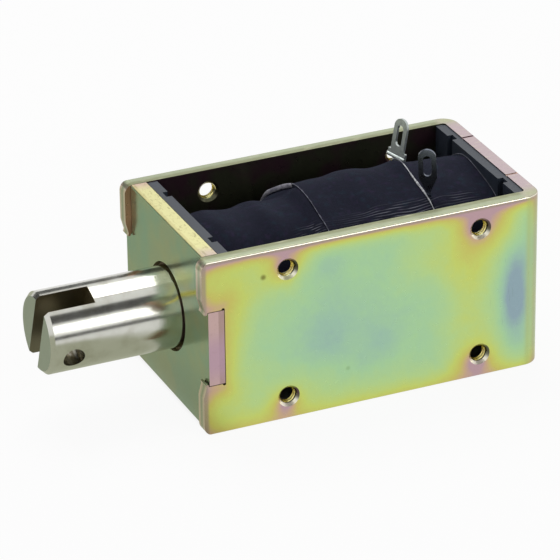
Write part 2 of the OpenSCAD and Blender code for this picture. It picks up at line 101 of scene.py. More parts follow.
class Value:
    """A number that varies over a surface. Arithmetic on it adds Math nodes."""

    def __init__(self, graph: "Graph", socket: bpy.types.NodeSocket) -> None:
        """Wraps a node's output socket."""
        self.graph = graph
        self.socket = socket

    def math(self, operation: str, *operands: "Operand") -> "Value":
        """Adds one Math node.

        Args:
            operation: The Math node's operation.
            operands: Its inputs, in order.

        Returns:
            The node's result.
        """
        made = self.graph.add("ShaderNodeMath", {"operation": operation}, dict(enumerate(operands)))
        return Value(self.graph, made.outputs[0])

    def __add__(self, other: "Operand") -> "Value":
        """Sum."""
        return self.math("ADD", self, other)

    def __radd__(self, other: "Operand") -> "Value":
        """Sum with a plain number first."""
        return self.math("ADD", other, self)

    def __sub__(self, other: "Operand") -> "Value":
        """Difference."""
        return self.math("SUBTRACT", self, other)

    def __rsub__(self, other: "Operand") -> "Value":
        """Difference from a plain number."""
        return self.math("SUBTRACT", other, self)

    def __mul__(self, other: "Operand") -> "Value":
        """Product."""
        return self.math("MULTIPLY", self, other)

    def __rmul__(self, other: "Operand") -> "Value":
        """Product with a plain number first."""
        return self.math("MULTIPLY", other, self)

    def __truediv__(self, other: "Operand") -> "Value":
        """Quotient."""
        return self.math("DIVIDE", self, other)

    def __neg__(self) -> "Value":
        """Opposite."""
        return self.math("MULTIPLY", self, -1.0)

    def __abs__(self) -> "Value":
        """Size without its sign."""
        return self.math("ABSOLUTE", self)

    def sin(self) -> "Value":
        """Sine of an angle in radians."""
        return self.math("SINE", self)

    def least(self, other: "Operand") -> "Value":
        """The smaller of the two."""
        return self.math("MINIMUM", self, other)

    def most(self, other: "Operand") -> "Value":
        """The larger of the two."""
        return self.math("MAXIMUM", self, other)

    def hypot(self, other: "Value") -> "Value":
        """Length of the vector that the two make."""
        return self.math("SQRT", self * self + other * other)

    def bell(self, middle: float, spread: float) -> "Value":
        """A bell curve of height 1 about a middle value."""
        scaled = (self - middle) / spread
        return self.math("EXPONENT", -(scaled * scaled))

    def fade(self, length: float) -> "Value":
        """Falls from 1 at zero by a factor e over each length."""
        return self.math("EXPONENT", self * (-1.0 / length))

    def step(self, low: float, high: float) -> "Value":
        """Rises smoothly from 0 at low to 1 at high; falls where low is the larger."""
        rising = high > low
        made = self.graph.add(
            "ShaderNodeMapRange",
            {"interpolation_type": "SMOOTHSTEP"},
            {
                "Value": self,
                "From Min": low if rising else high,
                "From Max": high if rising else low,
                "To Min": 0.0 if rising else 1.0,
                "To Max": 1.0 if rising else 0.0,
            },
        )
        return Value(self.graph, made.outputs["Result"])


Operand = Union[Value, float]


class Graph:
    """The nodes of one material, with the few building blocks that the finishes share."""

    def __init__(self, name: str, world: Optional[bpy.types.World] = None) -> None:
        """Makes an empty material, or empties the world where one is given."""
        self.material = bpy.data.materials.new(name) if world is None else world
        self.material.use_nodes = True
        self.tree = self.material.node_tree
        self.tree.nodes.clear()

    def add(self, kind: str, settings: dict[str, Any], values: dict[Any, Any]) -> bpy.types.Node:
        """Adds any node.

        Args:
            kind: The node's type.
            settings: Its settings, set before its inputs; "stops" fills a colour ramp.
            values: What goes into its inputs: numbers, colours, sockets or values, by name or place.

        Returns:
            The node.
        """
        made = self.tree.nodes.new(kind)
        for name, setting in settings.items():
            if name == "stops":
                elements = made.color_ramp.elements
                while len(elements) < len(setting):
                    elements.new(1.0)
                for element, (place, colour) in zip(elements, setting):
                    element.position = place
                    element.color = (*colour, 1.0)
            else:
                setattr(made, name, setting)
        for key, value in values.items():
            target = made.inputs[key]
            if isinstance(value, Value):
                self.tree.links.new(value.socket, target)
            elif isinstance(value, bpy.types.NodeSocket):
                self.tree.links.new(value, target)
            elif target.type == "RGBA":
                target.default_value = (*value, 1.0)
            else:
                target.default_value = value
        return made

    def split(self, vector: bpy.types.NodeSocket, scale: float = 1.0) -> tuple[Value, Value, Value]:
        """Splits a vector into its three parts, each times a scale."""
        parts = self.add("ShaderNodeSeparateXYZ", {}, {0: vector})
        return tuple(Value(self, parts.outputs[axis]) * scale for axis in range(3))

    def place(self) -> bpy.types.NodeSocket:
        """The place on the piece, in metres."""
        return self.add("ShaderNodeTexCoord", {}, {}).outputs["Object"]

    def facing(self) -> tuple[Value, Value, Value]:
        """Which way the surface faces."""
        return self.split(self.add("ShaderNodeTexCoord", {}, {}).outputs["Normal"])

    def stretched(self, vector: bpy.types.NodeSocket, scale: Sequence[float]) -> bpy.types.NodeSocket:
        """A place with each axis times its own scale."""
        made = self.add("ShaderNodeVectorMath", {"operation": "MULTIPLY"}, {0: vector, 1: tuple(scale)})
        return made.outputs[0]

    def noise(
        self,
        vector: bpy.types.NodeSocket,
        size: float,
        detail: float = 2.0,
        roughness: float = 0.5,
        seed: float = 0.0,
    ) -> Value:
        """Soft noise from 0 to 1.

        Args:
            vector: Where it is read, in metres.
            size: Size of its features, in millimetres.
            detail: Number of finer layers.
            roughness: Strength of the finer layers.
            seed: Chooses one noise among many.

        Returns:
            The noise.
        """
        made = self.add(
            "ShaderNodeTexNoise",
            {"noise_dimensions": "4D"},
            {
                "Vector": vector,
                "W": seed,
                "Scale": 1.0 / (size * MM),
                "Detail": detail,
                "Roughness": roughness,
            },
        )
        return Value(self, made.outputs["Fac"])

    def ramp(self, value: Value, stops: Stops) -> bpy.types.NodeSocket:
        """Turns a value from 0 to 1 into a colour, by stops of place and colour."""
        return self.add("ShaderNodeValToRGB", {"stops": stops}, {0: value}).outputs["Color"]

    def mix(self, first: Any, second: Any, share: Operand, how: str = "MIX") -> bpy.types.NodeSocket:
        """Mixes two colours.

        Args:
            first: Colour or socket where the share is 0.
            second: Colour or socket where the share is 1.
            share: Share of the second.
            how: Blend type.

        Returns:
            The mixed colour.
        """
        made = self.add(
            "ShaderNodeMix",
            {"data_type": "RGBA", "blend_type": how},
            {0: share, 6: first, 7: second},
        )
        return made.outputs[2]

    def bump(self, height: Value, depth: float, under: Any = None) -> bpy.types.NodeSocket:
        """Tilts the surface's light by a height from 0 to 1.

        Args:
            height: The height.
            depth: What a height of 1 is worth, in millimetres.
            under: A bump that this one lies on.

        Returns:
            The new normal.
        """
        values = {"Strength": 1.0, "Distance": depth * MM, "Height": height}
        if under is not None:
            values["Normal"] = under
        return self.add("ShaderNodeBump", {}, values).outputs["Normal"]

    def finish(self, **sockets: Any) -> bpy.types.Material:
        """Joins the colours and values to the shader and returns the material."""
        names = {
            name.replace("_", " ").title().replace("Ior", "IOR"): value
            for name, value in sockets.items()
        }
        shader = self.add("ShaderNodeBsdfPrincipled", {}, names)
        output = self.add("ShaderNodeOutputMaterial", {}, {"Surface": shader.outputs[0]})
        output.is_active_output = True
        return self.material


# ---- Finishes ----


@dataclass(frozen=True)
class Spot:
    """A soft patch where the chromate film is thicker or thinner.

    Places and spreads are in millimetres, along the frame from its front edge and up from its middle.
    """

    along: float
    up: float
    spread_along: float
    spread_up: float
    amount: float


@dataclass(frozen=True)
class Chromate:
    """Yellow chromate on zinc: a thin clear film that shows interference colours.

    The film's thickness is a field from 0 to 1, thin at edges and holes, and a ramp gives its colour.
    """

    front: float
    rear: float
    half_height: float
    near: float
    far: float
    hole_along: float
    hole_up: float
    stops: Stops = (
        (0.00, srgb(188, 156, 162)),
        (0.13, srgb(203, 172, 136)),
        (0.27, srgb(203, 196, 102)),
        (0.42, srgb(200, 213, 110)),
        (0.58, srgb(183, 214, 142)),
        (0.72, srgb(169, 210, 160)),
        (0.85, srgb(159, 197, 172)),
        (1.00, srgb(145, 169, 178)),
    )
    level: float = 0.76
    spots: tuple[Spot, ...] = (
        Spot(5.5, 8.0, 4.6, 4.0, -0.17),
        Spot(41.5, 0.0, 4.5, 14.0, -0.24),
        Spot(37.0, 7.0, 7.0, 5.0, -0.19),
        Spot(46.5, 11.5, 3.2, 5.5, -0.22),
        Spot(48.6, -2.0, 2.0, 7.0, 0.38),
        Spot(19.5, -3.5, 3.6, 2.6, 0.10),
        Spot(28.0, -4.5, 3.4, 3.0, 0.09),
        Spot(22.0, 0.5, 6.0, 3.0, 0.06),
        Spot(19.5, 10.0, 2.6, 2.0, 0.10),
    )
    halo_along: float = -0.4
    halo_up: float = 0.6
    halo_down: float = 1.0
    notch_half: float = 6.5
    notch_back: float = 3.3
    cut_metal: Colour = srgb(168, 176, 146)
    plate_top: Colour = srgb(216, 212, 156)
    stain_at: tuple[float, float] = (9.3, 9.5)
    speck_at: tuple[float, float] = (22.2, -7.6)
    glint_y: float = 10.5
    glint_z: float = 3.8
    glint_slope: float = 0.52

    def film(self, graph: Graph, place: bpy.types.NodeSocket) -> Value:
        """The film's thickness on the side walls, from 0 to 1.

        A level, less what the film loses towards each edge, the notch and each hole as falling
        exponentials of the distance, plus the spots and a noise.
        """
        x, _, z = graph.split(place, 1.0 / MM)
        along = x - self.front
        top = self.half_height - z
        bottom = z + self.half_height
        across = abs(x - self.halo_along) - self.hole_along
        upper_hole = across.hypot(z - self.hole_up - self.halo_up)
        lower_hole = across.hypot(z + self.hole_up + self.halo_down)
        notch = (along - self.notch_back).most(0.0).hypot((abs(z) - self.notch_half).most(0.0))
        drift = graph.noise(place, 6.0, 3.0, seed=3.1) - 0.5
        grain = graph.noise(place, 1.1, 3.0, 0.6, seed=7.7) - 0.5
        thickness = self.level + drift * 0.26 + grain * 0.09
        thickness = thickness - top.fade(1.0) * 1.05 - bottom.fade(2.6) * 0.42
        thickness = thickness - along.fade(2.0) * 0.32 - notch.fade(3.2) * 0.44
        thickness = thickness - upper_hole.fade(1.8) * 1.05 - lower_hole.fade(1.7) * 0.90
        for spot in self.spots:
            patch = along.bell(spot.along, spot.spread_along) * z.bell(spot.up, spot.spread_up)
            thickness = thickness + patch * spot.amount
        return thickness.most(0.0).least(1.0)

    def outside(self, graph: Graph, place: bpy.types.NodeSocket) -> bpy.types.NodeSocket:
        """The colours of the frame's outer faces: the side walls, and the paler rear wall."""
        x, y, z = graph.split(place, 1.0 / MM)
        along = x - self.front
        walls = graph.ramp(self.film(graph, place), self.stops)
        edge = (self.half_height - z).step(0.75, 0.35) + along.step(0.9, 0.4)
        walls = graph.mix(walls, srgb(160, 146, 128), edge.least(1.0) * 0.8)
        stain = (along - self.stain_at[0]).hypot(z - self.stain_at[1]).step(0.62, 0.12)
        walls = graph.mix(walls, srgb(120, 118, 50), stain * 0.85)
        speck = (along - self.speck_at[0]).hypot(z - self.speck_at[1]).step(0.5, 0.1)
        walls = graph.mix(walls, srgb(132, 170, 120), speck * 0.5)
        scratch = graph.noise(graph.stretched(place, (1.0, 1.0, 0.05)), 0.16, 1.0, seed=13.0)
        worn_rear = along.bell(46.8, 1.6) * z.bell(0.5, 6.5)
        walls = graph.mix(walls, srgb(112, 132, 120), scratch.step(0.62, 0.72) * worn_rear * 0.5)
        drift = graph.noise(place, 8.0, 3.0, seed=11.0) - 0.5
        rear_film = 0.60 - (self.half_height - z).fade(2.0) * 0.6
        rear_film = rear_film - (z + self.half_height).fade(2.0) * 0.45
        middle = (self.near + self.far) / 2
        rear_film = (rear_film + drift * 0.6 + y.bell(middle, 7.0) * 0.16).most(0.0).least(1.0)
        rear = graph.ramp(rear_film, self.stops)
        skin = graph.mix(walls, rear, x.step(self.rear - 2.6, self.rear - 1.0))
        skin = graph.mix(skin, srgb(178, 188, 112), x.bell(self.rear - 2.3, 0.45) * 0.5)
        return graph.mix(skin, srgb(160, 152, 126), x.bell(self.rear - 0.9, 0.8) * 0.6)

    def frame_material(self) -> bpy.types.Material:
        """The bent frame: film colours on its faces, plainer metal on its cut edges."""
        graph = Graph("chromated_frame")
        place = graph.place()
        x, y, _ = graph.split(place, 1.0 / MM)
        facing_x, facing_y, facing_z = graph.facing()
        middle = (self.near + self.far) / 2
        side = (y - middle) / (self.far - middle)
        tint = graph.noise(place, 5.0, 2.0, seed=5.0)
        # painted shade: the inner faces of the side walls and the rear wall get dark olive and mauve film
        # hues, far darker than the outside; over the last 3 mm before the front edge the painted shade gives
        # way to pale pink
        inside = graph.mix(srgb(84, 86, 66), srgb(92, 66, 74), tint.step(0.42, 0.66))
        inside = graph.mix(inside, srgb(206, 150, 126), (x - self.front).step(2.8, 1.6))
        inner_wall = (facing_y * side).step(-0.2, -0.5)
        inner_rear = facing_x.step(-0.3, -0.6) * (x - self.front).step(6.0, 8.0)
        colour = graph.mix(self.outside(graph, place), inside, inner_wall.most(inner_rear))
        # cut edges: sage, with a duller strip inside, pinkish on the rear wall
        streak = graph.noise(graph.stretched(place, (0.25, 1.0, 1.0)), 0.5, 2.0, seed=2.0)
        rear_share = x.step(self.rear - 3.4, self.rear - 2.0)
        edge = graph.mix(srgb(142, 146, 112), self.cut_metal, abs(side).step(0.90, 0.95))
        edge = graph.mix(edge, srgb(192, 172, 178), rear_share * 0.9)
        corner = (abs(side) - 0.93).bell(0.0, 0.10) * rear_share
        edge = graph.mix(edge, srgb(176, 182, 140), corner * 0.8)
        edge = graph.mix(edge, srgb(206, 202, 176), streak.step(0.5, 0.78) * 0.5)
        top_cut = abs(facing_z).step(0.55, 0.9)
        # painted highlight: the front cut edges are painted pale cream, with a line of plain cut metal along
        # them
        front_edge = graph.mix(srgb(226, 208, 186), self.cut_metal, (abs(side) - 0.935).bell(0.0, 0.03))
        front_cut = facing_x.step(-0.5, -0.85) * (x - self.front).step(3.4, 2.8)
        colour = graph.mix(colour, edge, top_cut)
        colour = graph.mix(colour, front_edge, front_cut)
        # painted highlight: the walls' rolled top edges are painted paler, as if they caught the light
        rolled = facing_z.bell(0.52, 0.24) * (facing_y * side).step(0.3, 0.6)
        colour = graph.mix(colour, srgb(250, 246, 226), rolled * 0.85)
        grain = graph.noise(place, 0.12, 2.0, 0.6, seed=1.0)
        worn = graph.noise(place, 0.7, 3.0, 0.6, seed=9.0)
        colour = graph.mix(colour, srgb(214, 208, 176), worn.step(0.72, 0.80) * 0.3)
        rough = 0.30 + (worn - 0.5) * 0.16 + top_cut * 0.04
        return graph.finish(
            base_color=colour,
            metallic=0.86,
            roughness=rough.most(0.16),
            normal=graph.bump(worn, 0.012, graph.bump(grain, 0.004)),
        )

    def plate_material(self, plate_front: float) -> bpy.types.Material:
        """The end plate: sage green and glossier, with pale yellow cut edges and pink tabs.

        A yellow line and a paler haze, set out from a point and a slope, imitate a reflection.
        """
        graph = Graph("chromated_plate")
        place = graph.place()
        x, y, z = graph.split(place, 1.0 / MM)
        facing_y, facing_z = graph.facing()[1:]
        middle = (self.near + self.far) / 2
        side = (y - middle) / (self.far - middle)
        drift = graph.noise(place, 6.0, 2.0, seed=21.0)
        face = graph.mix(srgb(166, 176, 136), srgb(146, 178, 148), drift.step(0.38, 0.62))
        face = graph.mix(face, srgb(140, 180, 152), side.step(-0.2, 0.8) * z.step(-4.0, 9.0) * 0.6)
        olive = graph.noise(place, 5.0, 1.0, seed=23.0).step(0.35, 0.85)
        face = graph.mix(face, srgb(176, 182, 128), olive * 0.6)
        slope = (z - self.glint_z) - (self.glint_y - y) * self.glint_slope
        glint = slope.bell(0.0, 0.42) * y.step(3.2, 4.6) * y.step(11.6, 10.2)
        haze = (slope - 2.6).bell(0.0, 1.1) * y.step(4.0, 6.5) * y.step(13.0, 11.0)
        face = graph.mix(face, srgb(186, 200, 104), haze * 0.5)
        face = graph.mix(face, srgb(242, 236, 84), glint * 0.85)
        face = graph.mix(face, srgb(142, 154, 130), z.step(0.0, -12.0) * 0.5)
        specks = graph.noise(place, 0.45, 3.0, 0.7, seed=25.0)
        dashes = graph.noise(graph.stretched(place, (1.0, 0.3, 1.0)), 0.35, 2.0, 0.6, seed=26.0)
        top = graph.mix(self.plate_top, srgb(198, 168, 160), side.step(0.66, 0.9) * 0.9)
        top = graph.mix(top, srgb(196, 176, 170), side.step(-0.62, -0.84) * 0.8)
        front_line = (x - plate_front).step(0.75, 0.35)
        top = graph.mix(top, srgb(150, 138, 84), specks.step(0.54, 0.70) * 0.55)
        top = graph.mix(top, srgb(150, 140, 92), dashes.step(0.56, 0.70) * 0.5)
        top = graph.mix(top, srgb(188, 178, 122), front_line * 0.5)
        tab_depth = (x - plate_front).step(1.45, 1.62)
        tab = graph.mix(srgb(200, 170, 166), srgb(176, 148, 142), tab_depth)
        tab = graph.mix(tab, srgb(184, 152, 172), abs(z + 1.5).step(5.0, 1.0) * 0.7)
        tab = graph.mix(tab, srgb(160, 132, 128), specks.step(0.55, 0.75) * 0.4)
        colour = graph.mix(face, top, abs(facing_z).step(0.5, 0.85))
        end = abs(facing_y).step(0.6, 0.9)
        colour = graph.mix(colour, tab, end)
        grain = graph.noise(place, 0.15, 2.0, 0.6, seed=27.0)
        worn = graph.noise(place, 0.9, 3.0, 0.6, seed=29.0)
        rough = 0.19 + (worn - 0.5) * 0.12 + abs(facing_z).step(0.5, 0.85) * 0.20 + end * 0.14
        return graph.finish(
            base_color=colour,
            metallic=0.88,
            roughness=rough.most(0.12),
            normal=graph.bump(worn * 0.6 + specks * 0.4, 0.012, graph.bump(grain, 0.004)),
        )


@dataclass(frozen=True)
class TurnedMetal:
    """Turned and plated metal, with fine rings round the X axis and a little handling wear."""

    name: str
    colour: Colour
    shade: Colour
    roughness: float = 0.16
    ring_pitch: float = 0.09
    ring_depth: float = 0.0012

    def colours(self, graph: Graph, place: bpy.types.NodeSocket) -> bpy.types.NodeSocket:
        """The metal's colour with its clouds and specks."""
        cloud = graph.noise(place, 3.5, 3.0, 0.6, seed=31.0)
        speck = graph.noise(place, 0.25, 2.0, 0.7, seed=33.0)
        colour = graph.mix(self.colour, self.shade, cloud.step(0.42, 0.72) * 0.5)
        return graph.mix(colour, self.shade, speck.step(0.70, 0.80) * 0.5)

    def surface(self, graph: Graph, place: bpy.types.NodeSocket) -> tuple[Value, bpy.types.NodeSocket]:
        """The roughness, and the normal with its turning rings."""
        x, _, _ = graph.split(place, 1.0 / MM)
        wander = graph.noise(place, 1.5, 2.0, seed=35.0)
        rings = (x * (2.0 * math.pi / self.ring_pitch) + wander * 3.0).sin() * 0.5 + 0.5
        lines = graph.noise(graph.stretched(place, (1.0, 0.06, 0.06)), 0.09, 2.0, seed=37.0)
        worn = graph.noise(place, 1.2, 3.0, 0.6, seed=39.0)
        rough = self.roughness + (worn - 0.5) * 0.12
        return rough.most(0.07), graph.bump(rings * 0.5 + lines, self.ring_depth)

    def material(self) -> bpy.types.Material:
        """The finish."""
        graph = Graph(self.name)
        place = graph.place()
        rough, normal = self.surface(graph, place)
        return graph.finish(
            base_color=self.colours(graph, place), metallic=1.0, roughness=rough, normal=normal
        )


@dataclass(frozen=True)
class PlungerNickel(TurnedMetal):
    """The plunger's nickel: painted shade in its slot and cross hole, and rougher there and on its sawn end.
    """

    axis_y: float = 15.0
    tip: float = -47.0
    slot_end: float = -39.4
    slot_half: float = 1.65
    pin_from_tip: float = 3.4
    pin_radius: float = 1.6
    roll: float = math.radians(20.0)
    in_slot: Colour = srgb(148, 136, 108)
    slot_painted_shade: Colour = srgb(96, 86, 62)
    end_face: Colour = srgb(176, 184, 172)

    def material(self) -> bpy.types.Material:
        """The finish."""
        graph = Graph(self.name)
        place = graph.place()
        x, y, z = graph.split(place, 1.0 / MM)
        side = y - self.axis_y
        across = side * math.cos(self.roll) + z * math.sin(self.roll)
        up = z * math.cos(self.roll) - side * math.sin(self.roll)
        colour = self.colours(graph, place)
        inside = abs(across).step(self.slot_half + 0.06, self.slot_half - 0.02) * x.step(
            self.slot_end + 0.1, self.slot_end - 0.02
        )
        # painted shade: the slot's walls are darker than the nickel, darkest towards the slot's deep side
        depth = graph.mix(self.in_slot, self.slot_painted_shade, up.step(3.5, -1.5))
        colour = graph.mix(colour, depth, inside)
        # painted shade: the cross hole is darkened too
        hole = (x - self.tip - self.pin_from_tip).hypot(up)
        hole = hole.step(self.pin_radius + 0.02, self.pin_radius - 0.02)
        colour = graph.mix(colour, self.slot_painted_shade, hole * 0.75)
        end = x.step(self.tip + 0.03, self.tip + 0.005)
        colour = graph.mix(colour, self.end_face, end)
        rough, normal = self.surface(graph, place)
        saw = graph.noise(graph.stretched(place, (0.08, 1.0, 0.08)), 0.10, 2.0, seed=41.0)
        normal = graph.bump(saw * (inside + end).least(1.0), 0.006, normal)
        rough = rough + inside * 0.22 + end * 0.24 + hole * 0.15
        return graph.finish(base_color=colour, metallic=1.0, roughness=rough, normal=normal)


@dataclass(frozen=True)
class ClothTape:
    """Black cotton tape: a plain weave read from the wrap's own map, in millimetres.

    The map's first axis runs round the coil and its second along it.
    """

    name: str
    thread: Colour = srgb(19, 20, 34)
    light_thread: Colour = srgb(54, 58, 80)
    pale: Colour = srgb(150, 152, 164)
    pitch: float = 0.24
    rib_pitch: float = 0.46

    def material(self) -> bpy.types.Material:
        """The finish."""
        graph = Graph(self.name)
        chart = graph.add("ShaderNodeUVMap", {"uv_map": "tape"}, {}).outputs[0]
        place = graph.place()
        turn, along, _ = graph.split(chart)
        wander = graph.noise(place, 2.5, 2.0, seed=51.0) - 0.5
        warp = ((turn + wander * 0.5) * (2.0 * math.pi / self.pitch)).sin()
        weft = ((along + wander * 0.4) * (2.0 * math.pi / self.pitch)).sin()
        weave = warp * weft * 0.5 + 0.5
        slub = graph.noise(graph.stretched(place, (0.25, 1.0, 1.0)), 0.35, 3.0, 0.7, seed=53.0)
        mottle = graph.noise(place, 0.22, 2.0, 0.8, seed=55.0)
        colour = graph.mix(self.thread, self.light_thread, weave * 0.35 * mottle.step(0.3, 0.8))
        for tint, size, seed in ((srgb(46, 34, 62), 0.9, 57.0), (srgb(26, 46, 58), 1.1, 59.0)):
            tinted = graph.noise(place, size, 2.0, seed=seed).step(0.5, 0.8)
            colour = graph.mix(colour, tint, tinted * 0.5)
        colour = graph.mix(colour, self.light_thread, slub.step(0.62, 0.80) * 0.5)
        # painted highlight: pale rib lines in a band round the coil, as the ribs glint where the light
        # catches them
        rib_glint_band = turn.step(5.2, 6.6) * turn.step(13.0, 10.0)
        bend = graph.noise(place, 7.0, 1.0, seed=61.0) * 2.2
        rib_glint = ((turn + bend) * (2.0 * math.pi / self.rib_pitch)).sin().step(0.35, 0.95)
        breaks = graph.noise(graph.stretched(place, (0.15, 1.0, 1.0)), 0.5, 1.0, seed=63.0)
        breaks = breaks.step(0.35, 0.6)
        where = along.bell(34.5, 6.5).most(along.bell(20.8, 1.6)).most(along.bell(44.0, 2.2) * 0.5)
        colour = graph.mix(colour, self.pale, rib_glint * breaks * rib_glint_band * where * 0.50)
        height = weave * 0.7 + slub * 0.6 + mottle * 0.3
        return graph.finish(
            base_color=colour,
            metallic=0.0,
            roughness=0.78 + mottle * 0.14,
            normal=graph.bump(height, 0.05),
            specular_ior_level=0.12,
            sheen_weight=0.10,
            sheen_roughness=0.4,
            sheen_tint=srgb(176, 190, 220),
        )


@dataclass(frozen=True)
class Selvedge:
    """The tape's woven edge, painted pale as a painted highlight where the threads catch the light."""

    name: str
    colour: Colour
    shade: Colour

    def material(self) -> bpy.types.Material:
        """The finish."""
        graph = Graph(self.name)
        place = graph.place()
        strand = graph.noise(graph.stretched(place, (0.5, 1.0, 1.0)), 0.3, 2.0, 0.7, seed=65.0)
        long_run = graph.noise(place, 2.2, 2.0, seed=67.0)
        colour = graph.mix(self.shade, self.colour, strand.step(0.3, 0.6) * long_run.step(0.3, 0.6))
        return graph.finish(
            base_color=colour,
            metallic=0.0,
            roughness=0.62 + strand * 0.2,
            normal=graph.bump(strand, 0.04),
            sheen_weight=0.3,
        )


@dataclass(frozen=True)
class Moulding:
    """Moulded plastic with a faint satin grain and scuffs."""

    name: str
    colour: Colour
    scuff: Colour
    roughness: float = 0.42

    def material(self) -> bpy.types.Material:
        """The finish."""
        graph = Graph(self.name)
        place = graph.place()
        cloud = graph.noise(place, 2.4, 3.0, 0.6, seed=71.0)
        grain = graph.noise(place, 0.12, 2.0, 0.6, seed=73.0)
        colour = graph.mix(self.colour, self.scuff, cloud.step(0.45, 0.75) * 0.55)
        colour = graph.mix(colour, self.scuff, grain.step(0.66, 0.8) * 0.35)
        return graph.finish(
            base_color=colour,
            metallic=0.0,
            roughness=self.roughness + (cloud - 0.5) * 0.2,
            normal=graph.bump(grain, 0.006),
        )


@dataclass(frozen=True)
class PlainMetal:
    """Sheet, wire or solder: mottled metal with dull patches."""

    name: str
    colour: Colour
    dull: Colour
    roughness: float = 0.3
    mottle_size: float = 0.6
    depth: float = 0.01
    metallic: float = 1.0

    def material(self) -> bpy.types.Material:
        """The finish."""
        graph = Graph(self.name)
        place = graph.place()
        patch = graph.noise(place, self.mottle_size, 3.0, 0.6, seed=81.0)
        fine = graph.noise(place, self.mottle_size / 5, 2.0, 0.6, seed=83.0)
        colour = graph.mix(self.colour, self.dull, patch.step(0.42, 0.68) * 0.75)
        rough = self.roughness + (patch - 0.5) * 0.3 + (fine - 0.5) * 0.1
        return graph.finish(
            base_color=colour,
            metallic=self.metallic,
            roughness=rough.most(0.08),
            normal=graph.bump(patch * 0.6 + fine * 0.4, self.depth),
        )


@dataclass(frozen=True)
class WoundWire:
    """Close turns of enamelled wire, read from the place along the coil."""

    name: str
    colour: Colour
    gap: Colour
    wire: float = 0.25

    def material(self) -> bpy.types.Material:
        """The finish."""
        graph = Graph(self.name)
        place = graph.place()
        x, _, _ = graph.split(place, 1.0 / MM)
        wave = (x * (math.pi / self.wire)).sin()
        crest = abs(wave)
        cloud = graph.noise(place, 2.0, 2.0, seed=85.0)
        colour = graph.mix(self.gap, self.colour, crest.step(0.1, 0.6))
        colour = graph.mix(colour, self.gap, cloud.step(0.5, 0.8) * 0.35)
        return graph.finish(
            base_color=colour,
            metallic=0.75,
            roughness=0.26 + cloud * 0.12,
            normal=graph.bump(crest, 0.10),
            coat_weight=0.35,
        )


# ---- Meshes ----


def make_piece(
    name: str, points: np.ndarray, faces: list[tuple[int, ...]], smooth: bool = True
) -> bpy.types.Object:
    """Puts points and faces into a new object at the origin.

    Args:
        name: The piece's name.
        points: Its points, one row each, in metres.
        faces: Its faces, as point numbers that turn anticlockwise seen from outside.
        smooth: True for smooth shading.

    Returns:
        The object.
    """
    mesh = bpy.data.meshes.new(name)
    mesh.from_pydata(points.tolist(), [], faces)
    mesh.polygons.foreach_set("use_smooth", np.full(len(faces), smooth))
    mesh.update()
    piece = bpy.data.objects.new(name, mesh)
    bpy.context.scene.collection.objects.link(piece)
    return piece


def grid_faces(rows: int, columns: int, start: int = 0, round_columns: bool = False) -> np.ndarray:
    """Quads of a grid whose points are numbered row by row.

    Args:
        rows: Number of rows of points.
        columns: Number of points in a row.
        start: Number of the first point.
        round_columns: True where a row's last point joins its first.

    Returns:
        One row of four point numbers for each quad.
    """
    numbers = np.arange(rows * columns).reshape(rows, columns) + start
    if round_columns:
        numbers = np.concatenate([numbers, numbers[:, :1]], axis=1)
    return np.stack(
        [numbers[:-1, :-1], numbers[1:, :-1], numbers[1:, 1:], numbers[:-1, 1:]], axis=-1
    ).reshape(-1, 4)


def carried_profile(path: np.ndarray, across: np.ndarray, up: np.ndarray, profile: np.ndarray) -> np.ndarray:
    """Rings of a profile carried along a path: point = path + u * across + v * up.

    Args:
        path: Points of the path, one row each.
        across: Unit vector of the profile's first axis at each point of the path.
        up: Unit vector of its second axis there.
        profile: The profile's points (u, v), one set for all places or one for each.

    Returns:
        The points, one ring for each place on the path.
    """
    profile = np.broadcast_to(profile, (len(path), *profile.shape[-2:]))
    return (
        path[:, None, :]
        + profile[..., :1] * across[:, None, :]
        + profile[..., 1:2] * up[:, None, :]
    )


def ring_faces(rings: np.ndarray, start: int = 0) -> list[tuple[int, ...]]:
    """Faces of a tube through rings of points, with its two ends closed."""
    rows, columns = rings.shape[:2]
    sides = grid_faces(rows, columns, start, round_columns=True)[:, ::-1]
    last = start + (rows - 1) * columns
    first_cap = tuple(range(start, start + columns))
    last_cap = tuple(range(last + columns - 1, last - 1, -1))
    return [*map(tuple, sides.tolist()), first_cap, last_cap]


def lay_chart(piece: bpy.types.Object, chart: np.ndarray) -> None:
    """Gives a piece its tape map: one pair of millimetres for each of its points."""
    layer = piece.data.uv_layers.new(name="tape")
    corners = np.zeros(len(piece.data.loops), np.int32)
    piece.data.loops.foreach_get("vertex_index", corners)
    layer.data.foreach_set("uv", chart[corners].astype(np.float32).ravel())


def turned_out(piece: bpy.types.Object) -> None:
    """Turns the faces of a closed piece outwards, by the sign of its volume."""
    mesh = piece.data
    mesh.calc_loop_triangles()
    corners = np.zeros(len(mesh.loop_triangles) * 3, np.int32)
    mesh.loop_triangles.foreach_get("vertices", corners)
    points = np.zeros(len(mesh.vertices) * 3)
    mesh.vertices.foreach_get("co", points)
    a, b, c = points.reshape(-1, 3)[corners.reshape(-1, 3)].transpose(1, 0, 2)
    if (a * np.cross(b, c)).sum() < 0:
        mesh.flip_normals()


# ---- Sub-assemblies ----


@dataclass
class Part:
    """What every sub-assembly knows: the box of the frame, and the plunger's axis, in millimetres."""

    front: float
    rear: float
    near: float
    far: float
    half_height: float

    @property
    def axis_y(self) -> float:
        """Where the plunger's axis stands across the frame."""
        return (self.near + self.far) / 2

    @staticmethod
    def dress(node: str, material: bpy.types.Material) -> None:
        """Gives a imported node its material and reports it."""
        mesh = bpy.data.objects[node].data
        mesh.materials.clear()
        mesh.materials.append(material)
        LOG.info("dressed %s with %s", node, material.name)

    @staticmethod
    def settle(piece: bpy.types.Object, material: bpy.types.Material, slot: str, body: str = "case") -> None:
        """Gives a new piece its material and its body, and reports it."""
        piece.data.materials.append(material)
        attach(piece, body)
        LOG.info("built %s: %d faces, %s", piece.name, len(piece.data.polygons), material.name)


